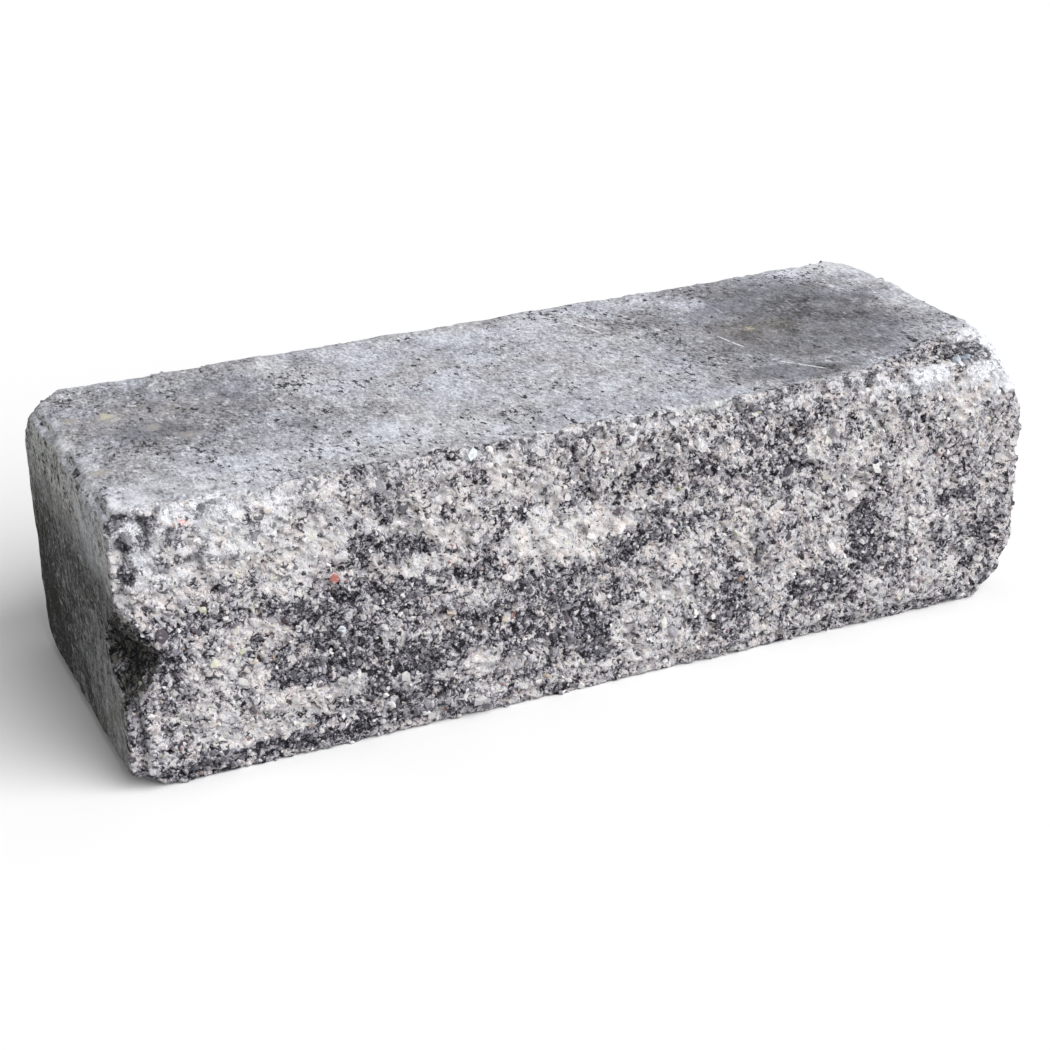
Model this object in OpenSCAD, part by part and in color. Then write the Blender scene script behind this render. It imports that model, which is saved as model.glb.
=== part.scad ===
// Garden wall block: one solid piece of pressed, split and tumbled concrete.
// Millimetres. +X runs along the length, +Z is up and the split face looks along -Y.
// The origin is the middle of the underside.

/* [Block] */
// Length from end to end
block_l = 500; // [300:5:700]
// Depth from the split face to the back
block_d = 190; // [140:5:300]
// Height from bed to bed
block_h = 145; // [110:5:220]

/* [Split face] */
// Mean depth of the broken surface behind the outermost crests
split_depth = 2.6; // [1:0.2:6]
// Height of the long swells
swell_h = 4; // [0:0.5:8]
// Length of one long swell
swell_l = 62; // [40:2:120]
// Height of the short lumps
lump_h = 3; // [0:0.5:5]
// Length of one short lump
lump_l = 19; // [12:1:40]

/* [Tumbled arrises] */
// Radius that tumbling leaves along every arris
arris_r = 12; // [8:1:22]
// Most that the front arrises lose on top of their radius
front_wear = 6; // [0:0.5:8]
// Most that the other arrises lose on top of their radius
back_wear = 2.5; // [0:0.5:5]
// Length of one worn notch along an arris
notch_l = 17; // [10:1:40]

/* [Knocked corners] */
// How far the knock on the top right front corner reaches along X, Y and Z
knock_top_right = [24, 50, 40]; // [8:1:90]
// How far the shallow chip beside it reaches, mostly along the top arris
chip_top_right = [117, 49, 12]; // [10:1:160]
// How far the knock on the bottom right front corner reaches
knock_low_right = [30, 36, 40]; // [8:1:90]
// How far the knock on the top left front corner reaches
knock_top_left = [17, 20, 18]; // [8:1:90]
// How far the knock on the bottom left front corner reaches
knock_low_left = [24, 40, 13]; // [8:1:90]
// How far the knock on the top left back corner reaches
knock_back_left = [25, 30, 29]; // [8:1:90]
// How far the knock on the bottom left back corner reaches
knock_back_low = [16, 34, 17]; // [8:1:90]
// How far the knocks on the two right back corners reach
knock_back_right = [20, 24, 22]; // [8:1:90]

/* [Spall on the left front arris] */
// How far the broken-off piece reached along the split face, at its widest
spall_x = 22; // [8:1:30]
// How far it reached along the end, at its widest
spall_y = 34; // [24:1:60]
// Height above the underside where it is widest
spall_z = 70; // [50:1:90]
// How far up from there the spall runs out
spall_up = 34; // [20:1:45]
// How far down from there the spall runs out
spall_down = 58; // [30:1:65]

/* [Hidden] */

// The rough envelope stands this far outside the pressed faces, which then trim it flat
proud = 1.5;
// Spacing of the envelope's rings along the length, and of its points up the split face
ring_step = 8;
row_step = 8;
// Steps in each quarter turn, in each ring-shaped cap and across each pressed side
arc_steps = 5;
cap_steps = 4;
flat_count = 6;
// Blend between a knock's plane and the surface beside it
knock_blend = 3;
// Random series of each kind of relief
seed_swell = 3;
seed_lump = 8;
seed_wear = 5;
// The random values are the fractions left by a large sine of the place and the series
sine_size = 43758.5453;
turn_i = 127.1;
turn_j = 311.7;
turn_seed = 74.7;
// How far the notches slant, so that they line up with no side
slant_along = 0.6;
slant_across = 0.4;
// The split relief sets in where the normal leans this far forward, and grows over this much more
front_from = 0.214;
front_over = 0.714;
// Share of the spall that dies away slowly downwards, and how much faster the rest goes
spall_tail = 0.35;
spall_haste = 2.2;

mid_z = block_h / 2;
// Half sizes of the envelope's core, which the arris radius is swept around
core_x = block_l / 2 + proud - arris_r;
core_y = block_d / 2 + proud - arris_r;
core_z = block_h / 2 + proud - arris_r;
ring_count = round(2 * core_x / ring_step);
row_count = round(2 * core_z / row_step);
// What the largest part of the normal falls short of 1 by, in the middle of an arris
edge_normal = 1 - sqrt(0.5);

// Each knock: the corner's side along X, Y and Z, and its reach
knocks = [
    [[1, -1, 1], knock_top_right],
    [[1, -1, 1], chip_top_right],
    [[1, -1, -1], knock_low_right],
    [[-1, -1, 1], knock_top_left],
    [[-1, -1, -1], knock_low_left],
    [[-1, 1, 1], knock_back_left],
    [[-1, 1, -1], knock_back_low],
    [[1, 1, 1], knock_back_right],
    [[1, 1, -1], knock_back_right]
];

// Smooth step from 0 to 1, held at both ends
function ease(t) = let (c = min(1, max(0, t))) c * c * (3 - 2 * c);

// Repeatable random value from 0 to 1 at a whole-numbered place
function lattice(i, j, seed) =
    let (h = sine_size * sin(turn_i * i + turn_j * j + turn_seed * seed)) h - floor(h);

// Random relief from 0 to 1, smooth between the whole-numbered places
function relief(u, v, seed) =
    let (i = floor(u), j = floor(v), a = ease(u - i), b = ease(v - j))
    (1 - b) * ((1 - a) * lattice(i, j, seed) + a * lattice(i + 1, j, seed))
    + b * ((1 - a) * lattice(i, j + 1, seed) + a * lattice(i + 1, j + 1, seed));

// How far the broken face lies behind the plane of its outermost crests
function split_inset(x, z) =
    split_depth
    + swell_h * (relief(x / swell_l, z / swell_l, seed_swell) - 0.5)
    + lump_h * (relief(x / lump_l, z / lump_l, seed_lump) - 0.5);

// One corner of the section, as [core y, core z, normal y, normal z] at each step of its arc
function corner_arc(side_y, side_z, from) = [
    for (k = [0 : arc_steps])
        let (a = from + 90 * k / arc_steps)
        [side_y * core_y, side_z * core_z, cos(a), sin(a)]
];

// The steps between two corners, leaving out both ends
function flat_run(from, to, count) = [
    for (k = [1 : count - 1]) from + (to - from) * k / count
];

// The section's loop: up the back, over the top, down the split face and along the underside
section = let (
    top_back = corner_arc(1, 1, 0),
    top_front = corner_arc(-1, 1, 90),
    low_front = corner_arc(-1, -1, 180),
    low_back = corner_arc(1, -1, 270)
) concat(
    top_back,
    flat_run(top_back[arc_steps], top_front[0], flat_count),
    top_front,
    flat_run(top_front[arc_steps], low_front[0], row_count),
    low_front,
    flat_run(low_front[arc_steps], low_back[0], flat_count),
    low_back,
    flat_run(low_back[arc_steps], top_back[0], flat_count)
);
loop_count = len(section);

// The rings along the length, as [core x, latitude, size of the core loop]
rings = concat(
    [for (k = [1 : cap_steps]) [-core_x, -90, k / cap_steps]],
    [for (k = [1 : arc_steps]) [-core_x, -90 + 90 * k / arc_steps, 1]],
    [for (k = [1 : ring_count - 1]) [-core_x + 2 * core_x * k / ring_count, 0, 1]],
    [for (k = [0 : arc_steps - 1]) [core_x, 90 * k / arc_steps, 1]],
    [for (k = [0 : cap_steps - 1]) [core_x, 90, 1 - k / cap_steps]]
);

// Outward normal of the envelope, and the point it is swept to, where a ring meets the section
function normal_at(ring, s) =
    [sin(ring[1]), cos(ring[1]) * s[2], cos(ring[1]) * s[3]];

function envelope_at(ring, s) =
    [ring[0], s[0] * ring[2], mid_z + s[1] * ring[2]] + arris_r * normal_at(ring, s);

// Loss along an arris: nothing on a flat side, most where the normal lies between two sides
function wear_at(p, n) =
    let (
        edge = min(1, (1 - max(abs(n[0]), abs(n[1]), abs(n[2]))) / edge_normal),
        most = back_wear + (front_wear - back_wear) * ease(0.5 - n[1]),
        along = (p[0] + slant_along * p[1]) / notch_l,
        across = (p[2] - slant_across * p[1]) / notch_l
    )
    edge * most * relief(along, across, seed_wear);

// An envelope point after wear, and after the relief where it belongs to the split face
function relieved(p, n) =
    let (front = ease((-n[1] - front_from) / front_over))
    p - n * (wear_at(p, n) + front * (proud + split_inset(p[0], p[2])));

// Pushes a point that stands beyond a plane straight back on to it, with a blend where it starts
function pushed_back(p, beyond, outward) =
    let (
        push = beyond > knock_blend ? beyond
            : beyond < -knock_blend ? 0
            : pow(beyond + knock_blend, 2) / (4 * knock_blend)
    )
    p - push * outward;

// The spall slants across the left front arris: it opens fast from the top and dies away slowly
function spalled(p) =
    let (
        rise = p[2] - spall_z,
        share = rise > 0 ? 1 - rise / spall_up
            : spall_tail * (1 + rise / spall_down)
                + (1 - spall_tail) * max(0, 1 + spall_haste * rise / spall_down),
        slope = [-1 / spall_x, -1 / spall_y, 0],
        from_arris = p + [block_l / 2, block_d / 2, 0],
        beyond = (from_arris * slope + share) / norm(slope)
    )
    pushed_back(p, beyond, slope / norm(slope));

// Each knock is a plane across its corner
function knocked(p, k = 0) =
    k == len(knocks) ? p :
    let (
        side = knocks[k][0],
        reach = knocks[k][1],
        corner = [side[0] * block_l / 2, side[1] * block_d / 2, side[2] * block_h / 2 + mid_z],
        slope = [side[0] / reach[0], side[1] / reach[1], side[2] / reach[2]],
        beyond = ((p - corner) * slope + 1) / norm(slope)
    )
    knocked(pushed_back(p, beyond, slope / norm(slope)), k + 1);

// The rough block before its pressed faces trim it
module rough_envelope() {
    ring_total = len(rings);
    skin = [
        for (ring = rings, s = section)
            knocked(spalled(relieved(envelope_at(ring, s), normal_at(ring, s))))
    ];
    tips = [for (side = [-1, 1]) [side * (core_x + arris_r), 0, mid_z]];
    walls = [
        for (i = [0 : ring_total - 2], j = [0 : loop_count - 1])
            let (
                next = (j + 1) % loop_count,
                a = i * loop_count + j,
                b = i * loop_count + next,
                c = a + loop_count,
                d = b + loop_count
            )
            each [[a, b, d], [a, d, c]]
    ];
    last = (ring_total - 1) * loop_count;
    ends = [
        for (j = [0 : loop_count - 1])
            let (next = (j + 1) % loop_count)
            each [
                [len(skin), next, j],
                [len(skin) + 1, last + j, last + next]
            ]
    ];
    polyhedron(points = concat(skin, tips), faces = concat(walls, ends));
}

// The planes of the mould: two beds, two ends, the back, and the reach of the highest crests
module pressed_planes() {
    translate([-block_l / 2, -block_d / 2, 0])
        cube([block_l, block_d, block_h]);
}

module wall_block() {
    color("darkgray")
        intersection() {
            pressed_planes();
            rough_envelope();
        }
}

wall_block();
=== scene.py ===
import math

import bpy
import numpy as np
from mathutils import Matrix, Vector


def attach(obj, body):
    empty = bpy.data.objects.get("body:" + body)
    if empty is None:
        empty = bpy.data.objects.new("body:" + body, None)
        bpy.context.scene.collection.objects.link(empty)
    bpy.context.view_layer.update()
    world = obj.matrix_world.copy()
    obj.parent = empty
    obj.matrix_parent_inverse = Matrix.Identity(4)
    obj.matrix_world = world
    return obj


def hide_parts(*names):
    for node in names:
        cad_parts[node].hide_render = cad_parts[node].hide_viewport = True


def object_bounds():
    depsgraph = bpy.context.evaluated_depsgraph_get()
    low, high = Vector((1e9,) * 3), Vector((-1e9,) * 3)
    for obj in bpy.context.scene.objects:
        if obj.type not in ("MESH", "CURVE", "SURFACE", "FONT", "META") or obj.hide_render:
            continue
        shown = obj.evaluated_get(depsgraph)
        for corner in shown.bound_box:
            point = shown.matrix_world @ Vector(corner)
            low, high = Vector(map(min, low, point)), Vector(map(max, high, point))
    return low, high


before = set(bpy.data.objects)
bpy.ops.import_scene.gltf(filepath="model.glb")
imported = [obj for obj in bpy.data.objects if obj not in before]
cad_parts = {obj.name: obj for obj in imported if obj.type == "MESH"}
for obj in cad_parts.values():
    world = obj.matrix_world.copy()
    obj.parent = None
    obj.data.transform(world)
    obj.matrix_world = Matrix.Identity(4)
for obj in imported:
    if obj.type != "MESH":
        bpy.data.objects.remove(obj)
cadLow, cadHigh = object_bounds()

# shapes are worked out in millimetres and written to the meshes in metres
mm = 0.001
blockLength = (cadHigh.x - cadLow.x) / mm
blockDepth = (cadHigh.y - cadLow.y) / mm
blockHeight = (cadHigh.z - cadLow.z) / mm
middleZ = blockHeight / 2
frontY = -blockDepth / 2
halfSize = np.array([blockLength, blockDepth, blockHeight]) / 2
centre = np.array([0, 0, middleZ])
print("frame loaded, block", round(blockLength), "x", round(blockDepth), "x", round(blockHeight), "mm")


# random relief: all of it is repeatable, because each random value is the fraction left by a large
# sine of the place and a seed
chance = {
    "sineSize": 43758.5453, "turnI": 127.1, "turnJ": 311.7, "turnSeed": 74.7,
    "cubeTurns": (12.9898, 78.233, 37.719), "cubeSeed": 0.7, "octaveSeed": 17,
}


def ease(t):
    # smooth step: 3t2 - 2t3, held at 0 below 0 and at 1 above 1
    c = np.clip(t, 0, 1)
    return c * c * (3 - 2 * c)


def rising(value, start, over):
    # eased from 0 at start to 1 at start + over
    return ease((value - start) / over)


def falling(value, end, over):
    # eased from 1 at end - over to 0 at end
    return ease((end - value) / over)


def lattice(i, j, seed):
    # random value at a whole-numbered place: the fraction of a sine of the weighted sum, in degrees
    turn = chance["turnI"] * i + chance["turnJ"] * j + chance["turnSeed"] * seed
    h = chance["sineSize"] * np.sin(np.radians(turn))
    return h - np.floor(h)


def relief(u, v, seed):
    # lattice values at the four places round (u, v), blended with eased shares
    i, j = np.floor(u), np.floor(v)
    a, b = ease(u - i), ease(v - j)
    low = (1 - a) * lattice(i, j, seed) + a * lattice(i + 1, j, seed)
    high = (1 - a) * lattice(i, j + 1, seed) + a * lattice(i + 1, j + 1, seed)
    return (1 - b) * low + b * high


def cubeRandom(cell, seed):
    # random value for each cell of a cubic lattice: as lattice(), with a third term and in radians
    turn = chance["cubeSeed"] * seed + cell @ np.array(chance["cubeTurns"])
    h = chance["sineSize"] * np.sin(turn)
    return h - np.floor(h)


def cloud(p, size, seed, octaves=3):
    # value noise from 0 to 1: cube corner values blended with eased shares, each octave half the size
    total, weight = 0.0, 0.0
    for octave in range(octaves):
        q = p / (size / 2 ** octave)
        base = np.floor(q)
        f = ease(q - base)
        value = 0.0
        for corner in np.ndindex(2, 2, 2):
            share = np.prod(np.where(np.array(corner) == 1, f, 1 - f), axis=1)
            value = value + share * cubeRandom(base + corner, seed + chance["octaveSeed"] * octave)
        total = total + value / 2 ** octave
        weight += 1 / 2 ** octave
    return total / weight


def chips(p, size, seed):
    # one random point in each cube of a lattice: gives, for the nearest one, its distance in cell
    # widths, its own random number, and the offset from it to the place
    q = p / size
    base = np.floor(q)
    nearest = np.full(len(p), np.inf)
    number = np.zeros(len(p))
    offset = np.zeros_like(p)
    for step in np.ndindex(3, 3, 3):
        cell = base + np.array(step) - 1
        spot = cell + np.stack([cubeRandom(cell, seed + k) for k in (1, 2, 3)], axis=1)
        away = q - spot
        distance = np.sqrt((away ** 2).sum(axis=1))
        closer = distance < nearest
        nearest = np.where(closer, distance, nearest)
        number = np.where(closer, cubeRandom(cell, seed + 4), number)
        offset = np.where(closer[:, None], away, offset)
    return nearest, number, offset


def again(number, factor):
    # a fresh random number out of an old one: the fraction left after multiplying
    return (number * factor) % 1


# the block's body: the same envelope as the CAD solid
block = {
    "splitDepth": 2.6, "swellHeight": 4.0, "swellLength": 62.0, "lumpHeight": 3.0, "lumpLength": 19.0,
    "arrisRadius": 12.0, "frontWear": 6.0, "backWear": 2.5, "notchLength": 17.0,
    "proud": 1.5, "knockBlend": 3.0, "trimBlend": 0.7, "splitProud": 0.8,
    "slantAlong": 0.6, "slantAcross": 0.4, "frontLean": 1.4, "frontFrom": 0.3,
    "spallX": 22.0, "spallY": 34.0, "spallZ": 70.0, "spallUp": 34.0, "spallDown": 58.0,
    "spallTail": 0.35, "spallHaste": 2.2, "spallFade": 2.5, "breakBlend": 3.0, "breakFrom": 0.3,
    "seedSwell": 3, "seedLump": 8, "seedWear": 5,
    # side of each corner along X, Y and Z, and the reach of its knock
    "knocks": [
        ((1, -1, 1), (24, 50, 40)),
        ((1, -1, 1), (117, 49, 12)),
        ((1, -1, -1), (30, 36, 40)),
        ((-1, -1, 1), (17, 20, 18)),
        ((-1, -1, -1), (24, 40, 13)),
        ((-1, 1, 1), (25, 30, 29)),
        ((-1, 1, -1), (16, 34, 17)),
        ((1, 1, 1), (20, 24, 22)),
        ((1, 1, -1), (20, 24, 22)),
    ],
    # mesh spacing on each part of the skin, and how many triangles are kept
    "stepLength": 1.15, "stepFront": 1.15, "stepTop": (1.3, 3.0), "stepBack": 4.5,
    "stepUnder": (2.0, 6.0), "arcFront": 14, "arcBack": 7,
    "capLeft": 38, "capRight": 20, "capSpread": 0.8, "triangles": 197000,
}
# what the largest part of the normal falls short of 1 by, in the middle of an arris
edgeNormal = 1 - math.sqrt(0.5)


def pushedBack(p, beyond, outward):
    # moves what stands beyond a plane back on to it, with a quadratic blend where it starts
    k = block["knockBlend"]
    push = np.where(beyond > k, beyond, np.where(beyond < -k, 0, (beyond + k) ** 2 / (4 * k)))
    return p - push[:, None] * outward


def brokenBy(beyond):
    # share that was broken off: eased from 0 just inside a breaking plane to 1 beyond it
    return ease(beyond / block["breakBlend"] + block["breakFrom"])


def coarseShape(p, n):
    # envelope point less its normal times wear and split depth, then pushed back on to the planes of
    # the spall and the knocks, as in the CAD solid; also gives the share that each broke away
    edge = np.minimum(1, (1 - np.abs(n).max(axis=1)) / edgeNormal)
    most = block["backWear"] + (block["frontWear"] - block["backWear"]) * ease(0.5 - n[:, 1])
    along = (p[:, 0] + block["slantAlong"] * p[:, 1]) / block["notchLength"]
    across = (p[:, 2] - block["slantAcross"] * p[:, 1]) / block["notchLength"]
    wear = edge * most * relief(along, across, block["seedWear"])
    swell = relief(p[:, 0] / block["swellLength"], p[:, 2] / block["swellLength"], block["seedSwell"])
    lump = relief(p[:, 0] / block["lumpLength"], p[:, 2] / block["lumpLength"], block["seedLump"])
    inset = block["splitDepth"] + block["swellHeight"] * (swell - 0.5) + block["lumpHeight"] * (lump - 0.5)
    front = ease(-block["frontLean"] * n[:, 1] - block["frontFrom"])
    p = p - n * (wear + front * (block["proud"] + inset))[:, None]

    # the spall opens fast from the top, and downwards one part dies away slowly and the rest soon
    rise, down, tail = p[:, 2] - block["spallZ"], block["spallDown"], block["spallTail"]
    below = tail * (1 + rise / down) + (1 - tail) * np.maximum(0, 1 + block["spallHaste"] * rise / down)
    share = np.where(rise > 0, 1 - rise / block["spallUp"], below)
    slope = np.array([-1 / block["spallX"], -1 / block["spallY"], 0])
    size = np.linalg.norm(slope)
    beyond = ((p + halfSize * np.array([1, 1, 0])) @ slope + share) / size
    spall = brokenBy(beyond) * ease(block["spallFade"] * share)
    p = pushedBack(p, beyond, slope / size)

    knocked = np.zeros(len(p))
    for side, reach in block["knocks"]:
        slope = np.array(side) / np.array(reach)
        size = np.linalg.norm(slope)
        corner = side * halfSize + centre
        beyond = ((p - corner) @ slope + 1) / size
        knocked = np.maximum(knocked, brokenBy(beyond))
        p = pushedBack(p, beyond, slope / size)
    return p, spall, knocked


def trimmed(value, limit):
    # smooth minimum of value and limit: the limit less half the sum of the gap and its rounded size
    gap = limit - value
    return limit - (gap + np.sqrt(gap ** 2 + block["trimBlend"] ** 2)) / 2


def insidePlanes(p, frontProud):
    # no place beyond the pressed beds, ends and back, nor further in front than the split face may be
    high = trimmed(p - centre, halfSize)
    return centre - trimmed(-high, halfSize + np.array([0, frontProud, 0]))


def arcPart(corner, start, steps):
    # quarter turn of the section: the same core corner all along, and a turning normal
    angle = np.radians(start + 90 * np.arange(steps + 1) / steps)
    return np.column_stack([np.tile(corner, (steps + 1, 1)), np.cos(angle), np.sin(angle)])


def runPart(start, end, normal, stepStart, stepEnd):
    # straight run of the section between two core corners, its spacing graded from one step to the other
    start, end = np.array(start, float), np.array(end, float)
    steps = round(2 * np.linalg.norm(end - start) / (stepStart + stepEnd))
    t = np.arange(1, steps) / steps
    t = t * (stepStart + 0.5 * t * (stepEnd - stepStart)) / (0.5 * (stepStart + stepEnd))
    place = start + t[:, None] * (end - start)
    return np.column_stack([place, np.tile(normal, (len(t), 1))])


def ringPart(along, latitude, width):
    # rings of the skin: place along the length, turn towards the end, share of the core's width
    return np.column_stack(np.broadcast_arrays(along, latitude, width))


def skinGrid():
    # the section's loop carried along the length: rings of one core rectangle plus the arris radius
    # times the normal, closed at each end by rings that shrink towards the middle
    r = block["arrisRadius"]
    coreX, coreY, coreZ = halfSize + block["proud"] - r
    fine, coarse = block["stepTop"]
    underFine, underCoarse = block["stepUnder"]
    loop = np.concatenate([
        arcPart((coreY, coreZ), 0, block["arcBack"]),
        runPart((coreY, coreZ), (-coreY, coreZ), (0, 1), coarse, fine),
        arcPart((-coreY, coreZ), 90, block["arcFront"]),
        runPart((-coreY, coreZ), (-coreY, -coreZ), (-1, 0), block["stepFront"], block["stepFront"]),
        arcPart((-coreY, -coreZ), 180, block["arcFront"]),
        runPart((-coreY, -coreZ), (coreY, -coreZ), (0, -1), underFine, underCoarse),
        arcPart((coreY, -coreZ), 270, block["arcBack"]),
        runPart((coreY, -coreZ), (coreY, coreZ), (1, 0), block["stepBack"], block["stepBack"]),
    ])

    # on both caps the rings close up, and between them they run straight
    grow = (np.arange(1, block["capLeft"] + 1) / block["capLeft"]) ** block["capSpread"]
    shrink = (1 - np.arange(block["capRight"]) / block["capRight"]) ** block["capSpread"]
    turn = 90 * np.arange(1, block["arcFront"] + 1) / block["arcFront"]
    straight = round(2 * coreX / block["stepLength"])
    along = -coreX + 2 * coreX * np.arange(1, straight) / straight
    rings = np.concatenate([
        ringPart(-coreX, -90, grow),
        ringPart(-coreX, turn - 90, 1),
        ringPart(along, 0, 1),
        ringPart(coreX, turn - turn[0], 1),
        ringPart(coreX, 90, shrink),
    ])

    latitude, width = np.radians(rings[:, 1])[:, None], rings[:, 2:]
    one = np.ones((len(rings), len(loop)))
    normals = (np.sin(latitude) * one, np.cos(latitude) * loop[:, 2], np.cos(latitude) * loop[:, 3])
    cores = (rings[:, :1] * one, width * loop[:, 0], middleZ + width * loop[:, 1])
    n, core = np.stack(normals, axis=-1), np.stack(cores, axis=-1)
    poles = np.array([[-coreX - r, 0, middleZ], [coreX + r, 0, middleZ]])
    p = np.concatenate([(core + r * n).reshape(-1, 3), poles])
    n = np.concatenate([n.reshape(-1, 3), [[-1.0, 0, 0], [1.0, 0, 0]]])

    count, last = len(loop), (len(rings) - 1) * len(loop)
    i, j = np.meshgrid(np.arange(len(rings) - 1) * count, np.arange(count), indexing="ij")
    after = (j + 1) % count
    a, b, c, d = (x.ravel() for x in (i + j, i + after, i + count + after, i + count + j))
    j = np.arange(count)
    after = (j + 1) % count
    triangles = np.concatenate([
        np.column_stack([a, b, c]), np.column_stack([a, c, d]),
        np.column_stack([np.full(count, len(p) - 2), after, j]),
        np.column_stack([np.full(count, len(p) - 1), last + j, last + after]),
    ])
    # points of an arc fall together on the caps: one is kept, and the triangles that vanish go
    first, inverse = np.unique(np.round(p, 3), axis=0, return_index=True, return_inverse=True)[1:]
    triangles = inverse.ravel()[triangles]
    whole = (triangles != np.roll(triangles, 1, axis=1)).all(axis=1)
    return p[first], n[first], triangles[whole]


def inScene(name, data):
    # a new object at the origin, holding a mesh, a lamp or a camera
    holder = bpy.data.objects.new(name, data)
    bpy.context.scene.collection.objects.link(holder)
    return holder


def meshFrom(name, points, triangles):
    # points in millimetres and triangles as whole arrays, straight into a new mesh
    mesh = bpy.data.meshes.new(name)
    mesh.vertices.add(len(points))
    mesh.vertices.foreach_set("co", (points * mm).astype(np.float32).ravel())
    mesh.loops.add(3 * len(triangles))
    mesh.loops.foreach_set("vertex_index", triangles.astype(np.int32).ravel())
    mesh.polygons.add(len(triangles))
    mesh.polygons.foreach_set("loop_start", np.arange(0, 3 * len(triangles), 3, dtype=np.int32))
    mesh.update(calc_edges=True)
    return inScene(name, mesh)


def pointsOf(mesh):
    # places in millimetres and vertex normals, as arrays
    place = np.empty(len(mesh.vertices) * 3, np.float32)
    mesh.vertices.foreach_get("co", place)
    normal = np.empty(len(mesh.vertices) * 3, np.float32)
    mesh.vertex_normals.foreach_get("vector", normal)
    return place.reshape(-1, 3).astype(float) / mm, normal.reshape(-1, 3).astype(float)


def setField(mesh, name, values):
    # gives each point of the mesh a number
    mesh.attributes.new(name, "FLOAT", "POINT").data.foreach_set("value", values.astype(np.float32))


def getField(mesh, name):
    # the numbers back from the mesh's points
    values = np.empty(len(mesh.vertices), np.float32)
    mesh.attributes[name].data.foreach_get("value", values)
    return values.astype(float)


# clouds of random relief and colour: width of the largest lump, seed, octaves, what is taken off the
# value, and the height or strength that it's then multiplied by
clouds = {
    # how ragged the broken border is, and the patches along the arrises
    "border": (11.0, 31, 3, 0.5, 13.0), "wander": (40.0, 35, 1, 0.5, 9.0),
    "chipped": (13.0, 33, 3, 0.0, 1.0),
    # relief of the broken faces, and of the spall
    "grit": (2.4, 60, 2, 0.5, 1.1), "spall": (15.0, 62, 2, 0.7, 6.0),
    # pressed faces: slow waves and ripples, and the arrises' lumps with the waves that they ride on
    "wave": (26.0, 70, 2, 0.5, 0.6), "ripple": (5.0, 72, 2, 0.5, 1.0),
    "crust": (8.0, 74, 3, 0.62, 3.0), "crustWave": (36.0, 76, 2, 0.6, 2.2),
    # colour: the mixes' drift, the white crust and its border, and the soil
    "tone": (26.0, 100, 3, 0.5, 0.35), "crustAndHighlight": (9.0, 110, 3, 0.0, 1.0),
    "crustEdge": (12.0, 112, 3, 0.5, 7.0),
    "soil": (12.0, 114, 3, -0.5, 1.0), "endSoil": (18.0, 116, 3, 0.0, 0.25),
}

# what breaking and pressing left on the skin, below the size of the CAD solid's lumps; a fade is
# where it starts or ends, and the stretch that it takes
skin = {
    "facetSize": 11.0, "facetHeight": 1.5, "facetTilt": 3.6, "facetSeed": 40,
    "chipSize": 4.0, "chipHeight": 0.9, "chipTilt": 2.4, "chipSeed": 50, "chipShift": 3.1,
    "holeShare": 0.13, "holeDepth": 2.0, "holeFade": (0.44, 0.2), "hollowFade": (1.2, 2.2),
    "spallFade": (0.5, 0.4), "splitSink": 0.5, "pressedSink": 0.2,
    "rippleHeight": 0.35, "endRipples": 2.6, "endFade": (0.5, 0.3),
    # how wide the worn strip is along the arrises, and how much smoother the lower ones are
    "crustWidth": 9.0, "crustReach": 1.2,
    "lowWear": 0.5, "lowWidth": 10.0, "lowReach": 1.3, "lowFade": (70, 40),
    # how far behind the split face the arris is broken, and how soft that border is
    "brokenReach": 10.5, "brokenSoft": 2.5,
    # patches along the arrises, and how much calmer the knocks at the back are
    "arrisLean": 0.2, "arrisFrom": 0.2, "chippedFade": (0.56, 0.1), "backCalm": 0.75, "backFade": (10, 40),
}


def cloudOf(kind, p):
    # one of the named clouds at the places p: (value - middle) * height
    size, seed, octaves, middle, height = clouds[kind]
    return height * (cloud(p, size, seed, octaves) - middle)


def fromArris(p):
    # distance from the nearest arris: the second smallest distance to the block's planes
    return np.sort(halfSize - np.abs(p - centre), axis=1)[:, 1]


def brokenShare(p, n, spall, knocked):
    # 1 where the concrete was split or broken off, 0 where the mould pressed it: near the split face,
    # in spalls and knocks, and in patches along the arrises, with a ragged border
    border = cloudOf("border", p) + cloudOf("wander", p)
    split = ease((skin["brokenReach"] - (p[:, 1] - frontY + border)) / skin["brokenSoft"] + 0.5)
    arris = ease((1 - np.abs(n).max(axis=1)) / skin["arrisLean"] - skin["arrisFrom"])
    chipped = arris * rising(cloudOf("chipped", p), *skin["chippedFade"])
    # knocks at the back are worn nearly as smooth as the pressed faces
    knocked = knocked * (1 - skin["backCalm"] * rising(p[:, 1], *skin["backFade"]))
    return np.maximum.reduce([split, spall, knocked, chipped])


def tiltedCells(p, size, height, tilt, seed):
    # flat chips: a random level for each cell and a random slope across it; also gives the distance
    # from the cell's middle and its number, whose multiples by primes are fresh random numbers
    near, number, offset = chips(p, size, seed)
    slopes = np.stack([number, again(number, 5), again(number, 7)], axis=1) - 0.5
    return height * (again(number, 13) - 0.5) + tilt * (offset * slopes).sum(axis=1), near, number


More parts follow.
